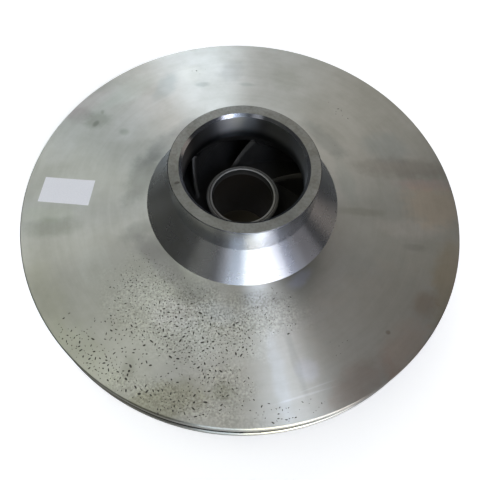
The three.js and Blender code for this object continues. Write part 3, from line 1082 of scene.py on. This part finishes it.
def label_sheet():
    """The label as a thin closed sheet."""
    shape = bmesh.new()
    grid = {}
    for layer, above in enumerate((LABEL_GLUE, LABEL_GLUE + LABEL_THICKNESS)):
        for i in range(LABEL_STEPS + 1):
            for j in range(LABEL_STEPS + 1):
                along = (i / LABEL_STEPS - 0.5) * LABEL_LENGTH
                across = (j / LABEL_STEPS - 0.5) * LABEL_WIDTH
                grid[layer, i, j] = shape.verts.new(on_label(along, across, above))
    for i in range(LABEL_STEPS):
        for j in range(LABEL_STEPS):
            square = [(i, j), (i + 1, j), (i + 1, j + 1), (i, j + 1)]
            shape.faces.new([grid[1, a, b] for a, b in square])
            shape.faces.new([grid[0, a, b] for a, b in reversed(square)])
    last = LABEL_STEPS
    for i in range(last):
        for start, end in (((i, 0), (i + 1, 0)), ((last, i), (last, i + 1)),
                           ((last - i, last), (last - i - 1, last)), ((0, last - i), (0, last - i - 1))):
            shape.faces.new((grid[0, *start], grid[0, *end], grid[1, *end], grid[1, *start]))
    mesh = mesh_from("paper_label_sheet", shape)
    mesh.materials.append(paper)
    return mesh


label = add_object("paper_label_sheet", label_sheet())
finish_edges(label)
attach(label, "root")
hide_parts("paper_label")


# Floor and light: a plain pale floor under soft studio light. Neither is part of the impeller.
# A round patch of floor under the bore is painted dark brown as shade, so that the bore looks as deep as it
# is.
FLOOR_RADIUS = 6.0

pale_floor, floor_tree, floor_shader = new_material("pale_floor")
set_inputs(floor_tree, floor_shader, {
    "Base Color": linear("f2f2f2"),
    "Emission Color": linear("ffffff"),
    "Emission Strength": 0.45,
    "Roughness": 0.9,
})
floor_shade_patch, floor_shade_tree, floor_shade_shader = new_material("painted_shade_under_bore")
set_inputs(floor_shade_tree, floor_shade_shader, {"Base Color": linear("5f5a50"), "Roughness": 0.9})
floor_shape = bmesh.new()
bmesh.ops.create_circle(floor_shape, cap_ends=True, segments=96, radius=BOSS_RADIUS - 2 * BOSS_CHAMFER)
spread = bmesh.ops.extrude_edge_only(floor_shape, edges=list(floor_shape.edges))["geom"]
outer = [v for v in spread if isinstance(v, bmesh.types.BMVert)]
bmesh.ops.scale(floor_shape, vec=Vector((1, 1, 1)) * FLOOR_RADIUS / BOSS_RADIUS, verts=outer)
bmesh.ops.recalc_face_normals(floor_shape, faces=floor_shape.faces)
for face in floor_shape.faces:
    face.material_index = 0 if len(face.verts) == 4 else 1
floor_mesh = mesh_from("floor", floor_shape)
floor_mesh.materials.append(pale_floor)
floor_mesh.materials.append(floor_shade_patch)
floor = add_object("floor", floor_mesh)
floor.visible_glossy = False

# The metal mirrors a dim grey room, paler where it looks steeply down. The backdrop itself is pale.
bpy.context.scene.view_settings.view_transform = "Standard"
world = bpy.data.worlds.new("studio")
world.use_nodes = True
studio = world.node_tree
surroundings = studio.nodes["Background"]
towards = add_node(studio, "ShaderNodeTexCoord").outputs["Generated"]
towards_height = add_node(studio, "ShaderNodeSeparateXYZ", {0: towards}).outputs[2]
steeply_down = add_node(studio, "ShaderNodeMapRange",
                        {"Value": towards_height, "From Min": -0.6, "From Max": -0.85}).outputs[0]
reflected = add_node(studio, "ShaderNodeMix", {0: steeply_down, 6: linear("454545"), 7: linear("c0c0c0")},
                     data_type="RGBA").outputs[2]
seen_directly = add_node(studio, "ShaderNodeLightPath").outputs["Is Camera Ray"]
seen = add_node(studio, "ShaderNodeMix", {0: seen_directly, 6: reflected, 7: linear("f4f4f4")},
                data_type="RGBA")
set_inputs(studio, surroundings, {"Color": seen.outputs[2], "Strength": 1.0})
bpy.context.scene.world = world


def soft_light(name, azimuth, elevation, width, brightness, colour):
    """A soft light a long way off, with its direction and width in degrees and its disc's brightness."""
    data = bpy.data.lights.new(name, "SUN")
    data.angle = math.radians(width)
    data.energy = brightness * math.pi * math.sin(math.radians(width / 2)) ** 2
    data.color = linear(colour)[:3]
    light = add_object(name, data)
    a, e = math.radians(azimuth), math.radians(elevation)
    away = Vector((math.cos(a) * math.cos(e), math.sin(a) * math.cos(e), math.sin(e)))
    light.rotation_mode = "QUATERNION"
    light.rotation_quaternion = away.to_track_quat("Z", "Y")


for name, azimuth, elevation, width, brightness, colour in (
        ("left_near_low", -126, 20, 24, 0.2, "fffeec"),
        ("near_window_edge", -104, 37, 14, 1.5, "ffffff"),
        ("near_low_left", -90, 6, 24, 3.7, "e7f3ff"),
        ("near_window_left", -80, 30, 14, 2.0, "e7f5ff"),
        ("near_low_middle", -72, 6, 24, 8.6, "fff8e0"),
        ("near_window_top", -64, 51, 14, 14, "d7e5ff"),
        ("near_window", -56, 44, 14, 12.7, "f5f5ff"),
        ("near_low_right", -54, 6, 24, 5.3, "ffffff"),
        ("right_near_gleam", -40, 14, 14, 0.6, "c6d7ff"),
        ("right_near_low", -36, 6, 24, 0.75, "fbfaff"),
        ("right_low", -18, 6, 24, 0.35, "fff7f5"),
        ("overhead", 0, 90, 24, 0.8, "fff4e2"),
        ("right_warm", 18, 20, 24, 0.88, "ffedd9"),
        ("far_wall_right", 77, 48, 24, 1.15, "fff7ef"),
        ("far_wall_cool", 88, 42, 14, 1.55, "e4f2ff"),
        ("far_wall_low", 100, 30, 14, 4.5, "ceebff"),
        ("far_wall_middle", 100, 42, 14, 3.6, "fff1ee"),
        ("far_wall_left", 120, 34, 24, 2.0, "f2fbff"),
        ("left_far", 136, 42, 14, 2.5, "fbfff7"),
        ("left_far_high", 136, 54, 14, 2.0, "e9f2ff"),
        ("left_far_top", 144, 76, 24, 0.94, "e6f2ff"),
        ("left_wall", 160, 42, 14, 2.4, "fffde2"),
        ("left_wall_high", 172, 54, 14, 2.0, "fdffef"),
        ("overhead_left", -160, 62, 24, 1.4, "fffcde")):
    soft_light(name, azimuth, elevation, width, brightness, colour)
